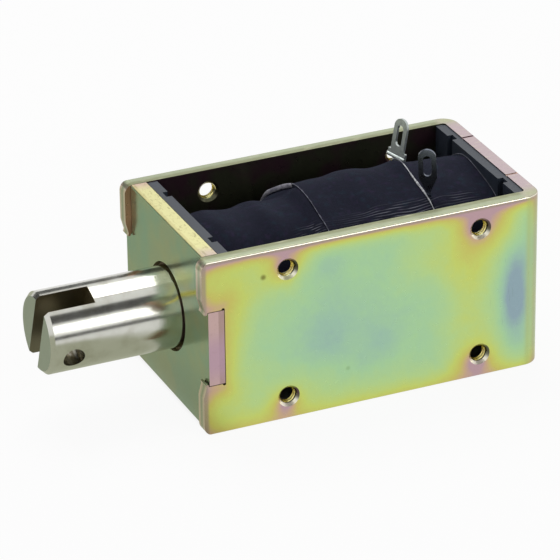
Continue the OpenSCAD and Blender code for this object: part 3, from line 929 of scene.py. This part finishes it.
@dataclass
class Housing(Part):
    """The bent frame with its tapped holes, and the staked end plate."""

    hole_along: float = 15.0
    hole_up: float = 10.0
    hole_radius: float = 1.25
    wall: float = 2.0
    countersink: float = 0.4
    thread_pitch: float = 0.5
    thread_depth: float = 0.13
    thread_root: float = 0.04
    steps_per_turn: int = 40

    def chromate(self) -> Chromate:
        """The film, set out on this frame."""
        return Chromate(
            self.front, self.rear, self.half_height, self.near, self.far, self.hole_along, self.hole_up
        )

    def thread_rings(self, x: float, y_start: float, z: float) -> np.ndarray:
        """The ridge of one tapped hole: a triangle carried along a helix.

        At turn t the triangle's middle stands at angle t round the hole's axis and at depth
        t * pitch / (2 pi). Its foot lies just inside the metal and its crest stands into the hole,
        and it shrinks to nothing at both ends.
        """
        length = self.wall - 2 * self.countersink
        turns = length / self.thread_pitch
        count = int(turns * self.steps_per_turn)
        turn = np.linspace(0.0, turns * 2 * np.pi, count)
        outward = np.stack([np.cos(turn), np.zeros(count), np.sin(turn)], axis=1)
        deep = np.broadcast_to(np.array([0.0, 1.0, 0.0]), (count, 3))
        middle = np.array([x, y_start + self.countersink, z]) + outward * self.hole_radius
        middle = middle + deep * (turn * self.thread_pitch / (2 * np.pi))[:, None]
        ease = np.clip(np.minimum(turn, turn[::-1]) / (np.pi / 2), 0.02, 1.0)[:, None, None]
        half = self.thread_pitch * 0.42
        profile = np.array([[self.thread_root, -half], [-self.thread_depth, 0.0], [self.thread_root, half]])
        profile = profile[None] * np.concatenate([ease, np.ones_like(ease)], axis=2)
        return carried_profile(middle, outward, deep, profile)

    def threads(self, name: str, y_start: float, material: bpy.types.Material) -> None:
        """Builds the ridges of one side wall's four holes as one piece."""
        points, faces, start = [], [], 0
        for x in (-self.hole_along, self.hole_along):
            for z in (-self.hole_up, self.hole_up):
                rings = self.thread_rings(x, y_start, z)
                faces += ring_faces(rings, start)
                points.append(rings.reshape(-1, 3))
                start += rings.shape[0] * rings.shape[1]
        piece = make_piece(name, np.concatenate(points) * MM, faces, smooth=False)
        turned_out(piece)
        self.settle(piece, material, "chromated_steel")

    def build(self) -> None:
        """Dresses the frame and the end plate and cuts the threads."""
        chromate = self.chromate()
        self.dress("frame", chromate.frame_material())
        plate_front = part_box("end_plate")[0].x / MM
        self.dress("end_plate", chromate.plate_material(plate_front))
        # painted highlight: the threads are the frame's chromated metal, coloured paler and yellower so that
        # they glint
        thread_glint_metal = PlainMetal("chromated_thread", srgb(236, 224, 152), srgb(180, 166, 96), 0.20, 0.3)
        thread = thread_glint_metal.material()
        self.threads("near_wall_threads", self.near, thread)
        self.threads("far_wall_threads", self.far - self.wall, thread)


@dataclass
class Actuator(Part):
    """The plunger, its push rod and ring, and the fixed core that they work against."""

    tip: float = -47.0

    def build(self) -> None:
        """Dresses the moving pieces and the fixed magnetic circuit."""
        nickel = srgb(206, 206, 198)
        shade = srgb(172, 170, 154)
        plunger = PlungerNickel("nickel_plunger", nickel, shade, axis_y=self.axis_y, tip=self.tip)
        self.dress("plunger", plunger.material())
        rod = TurnedMetal("stainless_rod", srgb(196, 196, 192), srgb(150, 150, 146), 0.2)
        self.dress("push_rod", rod.material())
        core = TurnedMetal("plated_core", srgb(188, 186, 172), srgb(146, 142, 124), 0.24)
        self.dress("fixed_core", core.material())
        ring = PlainMetal("spring_ring", srgb(120, 116, 108), srgb(74, 70, 64), 0.34)
        self.dress("retaining_ring", ring.material())
        brass = TurnedMetal("drawn_brass", srgb(214, 182, 104), srgb(168, 132, 66), 0.24)
        # painted shade: the guide tube is coloured dark brown for its ring deep in the bore
        bore = TurnedMetal("shaded_brass_bore", srgb(92, 76, 52), srgb(52, 42, 32), 0.42)
        self.dress("guide_tube", bore.material())
        self.dress("residual_washer", brass.material())


class WrapPlace(Enum):
    """Which of the three wraps of tape."""

    FRONT = "front"
    MIDDLE = "middle"
    REAR = "rear"


@dataclass
class Coil(Part):
    """The bobbin with its winding, film and three wraps of cloth tape.

    Radii are functions of the angle a, from +Z towards the near wall, and of the distance d behind
    the side walls' front edges, both worked out on whole arrays.
    """

    tape: float = 0.28
    lap_degrees: float = 24.0
    start_degrees: float = 172.0
    rows: int = 300
    columns: int = 64
    side_gap: float = 0.06
    wall: float = 2.0
    front_end: float = 5.0
    middle_start: float = 22.6
    seam: float = 39.1
    rear_end: float = 49.5
    film_radius: float = 11.36
    wrap_chart_radius: float = 13.0
    sleeve_chart_radius: float = 12.0
    turns_above_sleeve: float = 2.15

    @staticmethod
    def hump(value: np.ndarray, middle: float, spread: float) -> np.ndarray:
        """A bell curve of height 1."""
        return np.exp(-(((value - middle) / spread) ** 2))

    @staticmethod
    def smooth(value: np.ndarray, low: float, high: float) -> np.ndarray:
        """Rises from 0 at low to 1 at high as 3 s^2 - 2 s^3."""
        share = np.clip((value - low) / (high - low), 0.0, 1.0)
        return share * share * (3 - 2 * share)

    @staticmethod
    def wrapped(angle: np.ndarray) -> np.ndarray:
        """The same angle between -180 and 180 degrees."""
        return (angle + 180.0) % 360.0 - 180.0

    def lumps(self, angle: np.ndarray, behind: np.ndarray, seed: float) -> np.ndarray:
        """Small creases: a sum of a few crossed sine waves."""
        turn = np.radians(angle)
        return (
            0.05 * np.sin(3 * turn + 0.55 * behind + seed)
            + 0.04 * np.sin(7 * turn - 0.9 * behind + 2.1 * seed)
            + 0.025 * np.sin(11 * turn + 1.7 * behind + 0.7 * seed)
        )

    def broad_radius(self, angle: np.ndarray, behind: np.ndarray) -> np.ndarray:
        """Outer radius of the middle and rear wraps.

        A circle with four corners, crowned on the far side of its top, hollow on the near side,
        with humps along the coil at the middle wrap's rise and at the seam.
        """
        a = self.wrapped(angle)
        radius = 13.1 + 0.42 * np.cos(np.radians(4 * (a - 45)))
        radius = radius + 0.75 * self.hump(a, -17, 18)
        hollow = 0.35 - 0.27 * self.smooth(behind, 25, 38)
        radius = radius - hollow * self.hump(a, 22, 12)
        top = self.hump(a, -22, 34)
        radius = radius + top * 0.55 * self.hump(behind, 31, 2.8)
        radius = radius + self.hump(a, -14, 18) * 0.55 * self.hump(behind, self.seam - 0.2, 1.3)
        radius = radius - 0.45 * self.smooth(behind, self.seam + 2, self.rear_end)
        radius = radius - 0.18 * self.smooth(behind, self.seam - 0.1, self.seam + 0.1)
        return radius + self.lumps(angle, behind, 1.0)

    def narrow_radius(self, angle: np.ndarray, behind: np.ndarray) -> np.ndarray:
        """Outer radius of the front wrap before its collar: almost round, with four soft waves."""
        a = self.wrapped(angle)
        radius = 12.1 + 0.16 * np.cos(np.radians(4 * (a - 45)))
        wave = (
            0.38 * self.hump(behind, 8.4, 1.6)
            + 0.42 * self.hump(behind, 15.9, 1.5)
            - 0.12 * self.hump(behind, 12.6, 1.6)
            - 0.10 * self.hump(behind, 18.6, 1.2)
        )
        return radius + wave * (0.35 + 0.65 * self.hump(a, -25, 60)) + self.lumps(angle, behind, 4.0)

    def front_edge(self, angle: np.ndarray) -> np.ndarray:
        """Where the middle wrap starts: straight across the top, running forward on the far side."""
        a = self.wrapped(angle)
        forward = self.smooth(-a, 19, 40) * (1 - self.smooth(-a, 120, 160))
        return self.middle_start - 2.3 * forward

    def edge_thickness(self, angle: np.ndarray) -> np.ndarray:
        """Thickness of the middle wrap's front edge, folded double where it runs forward."""
        a = self.wrapped(angle)
        return 0.10 + 0.58 * self.smooth(-a, 12, 24) * (1 - self.smooth(-a, 120, 160))

    def front_radius(self, angle: np.ndarray, behind: np.ndarray) -> np.ndarray:
        """Outer radius of the front wrap: narrow, then climbing to just under the middle wrap."""
        edge = self.front_edge(angle)
        climb = self.smooth(behind, edge - 2.3, edge)
        reach = self.broad_radius(angle, edge) - self.edge_thickness(angle)
        narrow = self.narrow_radius(angle, behind)
        return narrow + (reach - narrow) * climb

    def points(self, angle: np.ndarray, behind: np.ndarray, radius: np.ndarray) -> np.ndarray:
        """Places on the coil: x = front + d, y = axis - r sin a, held between the walls, z = r cos a."""
        turn = np.radians(angle)
        side = np.clip(-radius * np.sin(turn), *(self.side_limit() * np.array([-1.0, 1.0])))
        return np.stack([self.front + behind, self.axis_y + side, radius * np.cos(turn)], axis=-1)

    def side_limit(self) -> float:
        """How far the tape may stand from the axis before it meets a side wall."""
        return (self.far - self.near) / 2 - self.wall - self.side_gap

    def wrap_grid(self, place: WrapPlace) -> tuple[np.ndarray, np.ndarray, np.ndarray]:
        """The angles, distances and outer radii of one wrap's outer turn.

        The turn is a spiral: its radius grows by the tape's thickness in a whole turn, so its end
        laps over its start below the coil, where it lifts a little.
        """
        turn = np.linspace(0.0, 360.0 + self.lap_degrees, self.rows)
        angle = (self.start_degrees + turn)[:, None]
        across = np.linspace(0.0, 1.0, self.columns)[None, :]
        across = across + 0.0 * angle
        if place is WrapPlace.FRONT:
            start, end = self.front_end + 0.0 * angle, self.front_edge(angle) + 0.35
            behind = start + (end - start) * across
            radius = self.front_radius(angle, behind)
        elif place is WrapPlace.MIDDLE:
            start, end = self.front_edge(angle), self.seam + 0.0 * angle
            behind = start + (end - start) * across
            radius = self.broad_radius(angle, behind)
        else:
            start, end = self.seam + 0.02 + 0.0 * angle, self.rear_end - 0.03 + 0.0 * angle
            behind = start + (end - start) * across
            radius = self.broad_radius(angle, behind)
        lift = 0.14 * self.smooth(turn, 360.0 + self.lap_degrees - 3.0, 360.0 + self.lap_degrees)
        radius = radius + (self.tape * (turn / 360.0 - 1.0) + lift)[:, None]
        return angle + 0.0 * behind, behind, radius

    def wrap(self, place: WrapPlace, material: bpy.types.Material) -> bpy.types.Object:
        """Builds one wrap's outer turn as a closed thin sheet, with its map in millimetres."""
        angle, behind, radius = self.wrap_grid(place)
        thickness = self.tape + 0.0 * radius
        if place is WrapPlace.MIDDLE:
            share = self.hump(behind - self.front_edge(angle), 0.0, 0.8)
            thickness = thickness + (self.edge_thickness(angle) - 0.10) * share * 0.6
        outer = self.points(angle, behind, radius)
        inner = self.points(angle, behind, radius - thickness)
        rows, columns = radius.shape
        count = rows * columns
        points = np.concatenate([outer.reshape(-1, 3), inner.reshape(-1, 3)])
        numbers = np.arange(count).reshape(rows, columns)
        rim = np.concatenate([numbers[0, :], numbers[1:, -1], numbers[-1, -2::-1], numbers[-2:0:-1, 0]])
        after = np.roll(rim, -1)
        sides = np.stack([rim, after, after + count, rim + count], axis=1)
        top = grid_faces(rows, columns)
        bottom = grid_faces(rows, columns, count)[:, ::-1]
        faces = [*map(tuple, np.concatenate([top, bottom, sides[:, ::-1]]).tolist())]
        piece = make_piece(f"{place.value}_wrap", points * MM, faces)
        turned_out(piece)
        around = (np.radians(angle) - 2 * np.pi) * self.wrap_chart_radius
        chart = np.stack([around, behind], axis=-1).reshape(-1, 2)
        lay_chart(piece, np.concatenate([chart, chart]))
        self.settle(piece, material, "cloth_tape")
        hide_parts(f"{place.value}_tape_wrap")
        width = float((behind[:, -1] - behind[:, 0]).mean()) * MM
        return piece

    def underlayers(self, material: bpy.types.Material) -> None:
        """Builds the wound turns under the outer ones: one sleeve from the film to just below them."""
        angle = np.linspace(0.0, 360.0, 180, endpoint=False)[:, None]
        behind = np.linspace(self.front_end + 0.05, self.rear_end - 0.08, 150)[None, :]
        angle, behind = angle + 0.0 * behind, behind + 0.0 * angle
        front = self.front_radius(angle, np.minimum(behind, self.front_edge(angle)))
        broad = self.broad_radius(angle, behind)
        radius = np.where(behind < self.front_edge(angle) + 0.3, front, broad)
        sleeve = radius - self.turns_above_sleeve * self.tape
        outer = self.points(angle, behind, np.maximum(sleeve, self.film_radius + 0.02))
        inner = self.points(angle, behind, np.full_like(radius, self.film_radius))
        rings = np.concatenate([outer, inner[:, ::-1]], axis=1)
        rows, columns = rings.shape[:2]
        faces = grid_faces(rows + 1, columns, round_columns=True)
        faces = np.where(faces >= rows * columns, faces - rows * columns, faces)
        piece = make_piece(
            "tape_underlayers", rings.reshape(-1, 3) * MM, [*map(tuple, faces.tolist())]
        )
        turned_out(piece)
        chart = np.stack([np.radians(angle) * self.sleeve_chart_radius, behind], axis=-1)
        lay_chart(piece, np.concatenate([chart, chart[:, ::-1]], axis=1).reshape(-1, 2))
        self.settle(piece, material, "cloth_tape")

    def selvedge(
        self,
        name: str,
        angle: np.ndarray,
        behind: np.ndarray,
        radius: np.ndarray,
        width: np.ndarray,
        height: np.ndarray,
        material: bpy.types.Material,
    ) -> None:
        """Builds a woven edge: an oval of the given half sizes carried along a line on the tape."""
        path = self.points(angle, behind, radius)
        turn = np.radians(angle)
        out = np.stack([np.zeros_like(turn), -np.sin(turn), np.cos(turn)], axis=1)
        along = np.gradient(path, axis=0)
        along = along / np.linalg.norm(along, axis=1, keepdims=True)
        across = np.cross(out, along)
        across = across / np.linalg.norm(across, axis=1, keepdims=True)
        corner = np.linspace(0.0, 2 * np.pi, 8, endpoint=False)
        oval = np.stack([np.cos(corner), np.sin(corner)], axis=1)[None]
        sizes = np.stack([width, height], axis=1)[:, None, :]
        rings = carried_profile(path, across, out, oval * sizes)
        piece = make_piece(name, rings.reshape(-1, 3) * MM, ring_faces(rings))
        turned_out(piece)
        self.settle(piece, material, "cloth_tape")

    def edges(self) -> None:
        """Builds the pale woven edges at the middle wrap's front, at the seam and at the rear end."""
        grey = Selvedge("grey_selvedge", srgb(176, 174, 184), srgb(104, 104, 118)).material()
        dark = Selvedge("dark_selvedge", srgb(120, 122, 138), srgb(48, 50, 66)).material()
        white = Selvedge("white_selvedge", srgb(226, 228, 230), srgb(120, 122, 134)).material()
        angle = np.linspace(-66.0, -20.5, 60)
        behind = self.front_edge(angle)
        thick = self.edge_thickness(angle)
        self.selvedge(
            "folded_edge",
            angle,
            behind - 0.02,
            self.broad_radius(angle, behind) - thick * 0.42,
            0.16 + 0.0 * angle,
            0.05 + thick * 0.42,
            grey,
        )
        angle = np.linspace(-22.0, 70.0, 120)
        behind = self.front_edge(angle)
        size = 0.05 + 0.02 * np.sin(angle * 0.9)
        self.selvedge(
            "front_selvedge", angle, behind, self.broad_radius(angle, behind) + 0.01, size, size, dark
        )
        angle = np.linspace(-30.0, 70.0, 160)
        swell = 0.07 + 0.09 * self.hump(angle, 14, 12) + 0.02 * np.sin(angle * 0.7)
        behind = self.seam + 0.0 * angle
        self.selvedge(
            "seam_selvedge", angle, behind, self.broad_radius(angle, behind - 0.3) + 0.01, swell, swell, white
        )
        angle = np.linspace(-40.0, 70.0, 120)
        behind = self.rear_end - 0.12 + 0.0 * angle
        size = 0.05 + 0.0 * angle
        self.selvedge(
            "rear_selvedge", angle, behind, self.broad_radius(angle, behind) + 0.0, size, size, dark
        )

    def build(self) -> None:
        """Dresses the bobbin, winding and film, and builds the tape."""
        nylon = Moulding("bobbin_nylon", srgb(44, 51, 62), srgb(60, 68, 80))
        self.dress("bobbin", nylon.material())
        wire = WoundWire("wound_wire", srgb(196, 104, 52), srgb(80, 34, 16))
        self.dress("winding", wire.material())
        film = Moulding("clear_film", srgb(196, 176, 96), srgb(160, 140, 72), 0.25)
        self.dress("insulating_film", film.material())
        cloth = ClothTape("black_cloth_tape").material()
        self.underlayers(cloth)
        for place in WrapPlace:
            self.wrap(place, cloth)
        self.edges()


@dataclass
class Terminals(Part):
    """The two solder lugs with the winding's ends and their solder."""

    def build(self) -> None:
        """Dresses the lugs, the wire ends and the solder."""
        tin = PlainMetal("tinned_lug", srgb(190, 197, 194), srgb(164, 171, 170), 0.42, 0.9, 0.008)
        # painted reflection: the near lug is the same tin, coloured dark blue-grey as it reflects the dark
        # tape
        lug_tin_dark_reflection = PlainMetal("tinned_lug_painted_reflection", srgb(112, 118, 132), srgb(84, 90, 104), 0.30, 0.9, 0.008)
        copper = PlainMetal("enamelled_wire", srgb(176, 96, 52), srgb(110, 56, 30), 0.3, 0.5)
        solder = PlainMetal("solder", srgb(214, 216, 214), srgb(160, 160, 158), 0.16, 0.5, 0.03)
        for side, plating in (("far", tin), ("near", lug_tin_dark_reflection)):
            self.dress(f"{side}_terminal", plating.material())
            self.dress(f"{side}_wire_end", copper.material())
            self.dress(f"{side}_solder_bead", solder.material())


# ---- Studio ----


@dataclass
class Studio:
    """Floor, world, soft lamps, dark cards that only reflections see, and the camera.

    In front of the frame the floor looks beige-green to reflections, which shades the plunger.
    """

    middle: Vector
    bottom: float
    azimuth: float = -23.7
    elevation: float = 26.5
    roll: float = -0.75
    distance: float = 0.588
    lens: float = 263.7
    sensor: float = 36.0
    aim: tuple[float, float, float] = (0.0, -0.0009, -0.0019)
    ambient: float = 0.46
    footing: tuple[float, float, float, float] = (-1.5, 15.0, 22.5, 11.5)
    contact_blur: float = 3.8
    plain_share: float = 0.93
    plunger_floor: Colour = (0.50, 0.52, 0.40)

    @staticmethod
    def towards(azimuth: float, elevation: float) -> Vector:
        """The direction at an azimuth from -Y, turning to +X, and an elevation, in degrees."""
        a, e = math.radians(azimuth), math.radians(elevation)
        return Vector((math.sin(a) * math.cos(e), -math.cos(a) * math.cos(e), math.sin(e)))

    def camera(self) -> None:
        """Sets up the camera."""
        data = bpy.data.cameras.new("camera")
        data.lens, data.sensor_width = self.lens, self.sensor
        data.clip_start, data.clip_end = 0.01, 10.0
        camera = bpy.data.objects.new("camera", data)
        bpy.context.scene.collection.objects.link(camera)
        back = self.towards(self.azimuth, self.elevation)
        camera.location = self.middle + Vector(self.aim) + back * self.distance
        turn = (-back).to_track_quat("-Z", "Y") @ Quaternion((0, 0, 1), math.radians(self.roll))
        camera.rotation_mode = "QUATERNION"
        camera.rotation_quaternion = turn
        bpy.context.scene.camera = camera

    def lamp(
        self, name: str, azimuth: float, elevation: float, away: float, size: float, power: float
    ) -> None:
        """Adds one soft square lamp that faces the part."""
        data = bpy.data.lights.new(name, "AREA")
        data.shape, data.size, data.energy = "SQUARE", size, power
        lamp = bpy.data.objects.new(name, data)
        bpy.context.scene.collection.objects.link(lamp)
        back = self.towards(azimuth, elevation)
        lamp.location = self.middle + back * away
        lamp.rotation_mode = "QUATERNION"
        lamp.rotation_quaternion = (-back).to_track_quat("-Z", "Y")

    def card(
        self,
        name: str,
        azimuth: float,
        elevation: float,
        away: float,
        width: float,
        height: float,
        shade: float,
    ) -> None:
        """Adds a grey card that only reflections see, facing the part."""
        back = self.towards(azimuth, elevation)
        turn = (-back).to_track_quat("-Z", "Y")
        flat = np.array([[-1, -1, 0], [1, -1, 0], [1, 1, 0], [-1, 1, 0]]) * [width / 2, height / 2, 0]
        turned = np.array(turn.to_matrix()) @ flat.T
        points = turned.T + np.array(self.middle + back * away)
        card = make_piece(name, points, [(0, 1, 2, 3)], smooth=False)
        graph = Graph(name)
        glow = graph.add("ShaderNodeEmission", {}, {"Color": (shade, shade, shade)})
        graph.add("ShaderNodeOutputMaterial", {}, {"Surface": glow.outputs[0]})
        card.data.materials.append(graph.material)
        for ray in ("camera", "diffuse", "shadow", "transmission", "volume_scatter"):
            setattr(card, f"visible_{ray}", False)
        card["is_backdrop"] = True

    @staticmethod
    def seen(graph: "Graph") -> Value:
        """1 for rays that see the background: camera, glossy and transmission rays."""
        path = graph.add("ShaderNodeLightPath", {}, {})
        camera = Value(graph, path.outputs["Is Camera Ray"])
        glossy = Value(graph, path.outputs["Is Glossy Ray"])
        through = Value(graph, path.outputs["Is Transmission Ray"])
        return camera.most(glossy).most(through)

    def floor(self) -> None:
        """Adds the pale floor: mostly plain white where it is seen, with a painted shadow where the part
        covers it.
        """
        half = 3.0
        points = np.array([[-half, -half, 0], [half, -half, 0], [half, half, 0], [-half, half, 0]])
        points = points + np.array([self.middle.x, self.middle.y, self.bottom])
        floor = make_piece("floor", points, [(0, 1, 2, 3)], smooth=False)
        graph = Graph("pale_floor")
        x, y, _ = graph.split(graph.place(), 1.0 / MM)
        # painted shadow: the glow fades out over the part's footprint, with soft edges
        across = (abs(x - self.footing[0]) - self.footing[2]).most(0.0)
        deep = (abs(y - self.footing[1]) - self.footing[3]).most(0.0)
        open_floor = across.hypot(deep).step(0.0, self.contact_blur)
        share = self.seen(graph) * open_floor * self.plain_share
        diffuse = graph.add("ShaderNodeBsdfDiffuse", {}, {"Color": (0.8, 0.8, 0.8)})
        # painted reflection: to glossy rays the floor in front of the frame is beige-green, which shades the
        # plunger's underside
        glossy = Value(graph, graph.add("ShaderNodeLightPath", {}, {}).outputs["Is Glossy Ray"])
        under_plunger = x.step(-20.0, -30.0) * glossy
        tint = graph.mix((1.0, 1.0, 1.0), self.plunger_floor, under_plunger)
        glow = graph.add("ShaderNodeEmission", {}, {"Color": tint, "Strength": 1.0})
        both = graph.add(
            "ShaderNodeMixShader", {}, {0: share, 1: diffuse.outputs[0], 2: glow.outputs[0]}
        )
        graph.add("ShaderNodeOutputMaterial", {}, {"Surface": both.outputs[0]})
        floor.data.materials.append(graph.material)
        floor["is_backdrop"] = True

    def world(self) -> None:
        """Sets the world: white where it is seen, a plain soft light elsewhere."""
        world = bpy.data.worlds.new("studio")
        bpy.context.scene.world = world
        graph = Graph("studio", world)
        strength = self.seen(graph) * (1.0 - self.ambient) + self.ambient
        sky = graph.add("ShaderNodeBackground", {}, {"Color": (1.0, 1.0, 1.0), "Strength": strength})
        graph.add("ShaderNodeOutputWorld", {}, {"Surface": sky.outputs[0]})

    def build(self) -> None:
        """Sets up the studio."""
        bpy.context.scene.view_settings.view_transform = "Standard"
        self.camera()
        self.floor()
        self.world()
        self.lamp("top_lamp", 175.0, 62.0, 0.60, 0.34, 1.5)
        self.lamp("front_lamp", 28.0, 24.0, 0.70, 0.24, 0.8)
        self.card("back_card", 200.0, 20.0, 0.9, 1.4, 0.42, 0.10)
        self.card("high_card", 20.0, 52.0, 0.9, 1.2, 0.36, 0.10)
        self.card("low_card", 20.0, 3.0, 0.9, 1.6, 0.16, 0.14)
        LOG.info("studio ready")


def main() -> None:
    """Builds and dresses the sub-assemblies in order."""
    logging.basicConfig(level=logging.INFO, format="%(name)s: %(message)s")
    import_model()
    cad_low, cad_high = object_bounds()
    low, high = (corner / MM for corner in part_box("frame"))
    sizes = dict(front=low.x, rear=high.x, near=low.y, far=high.y, half_height=high.z)
    Studio((cad_low + cad_high) / 2, cad_low.z).build()
    Housing(**sizes).build()
    Actuator(**sizes, tip=cad_low.x / MM).build()
    Coil(**sizes).build()
    Terminals(**sizes).build()
    low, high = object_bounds()


if __name__ == "__main__":
    main()
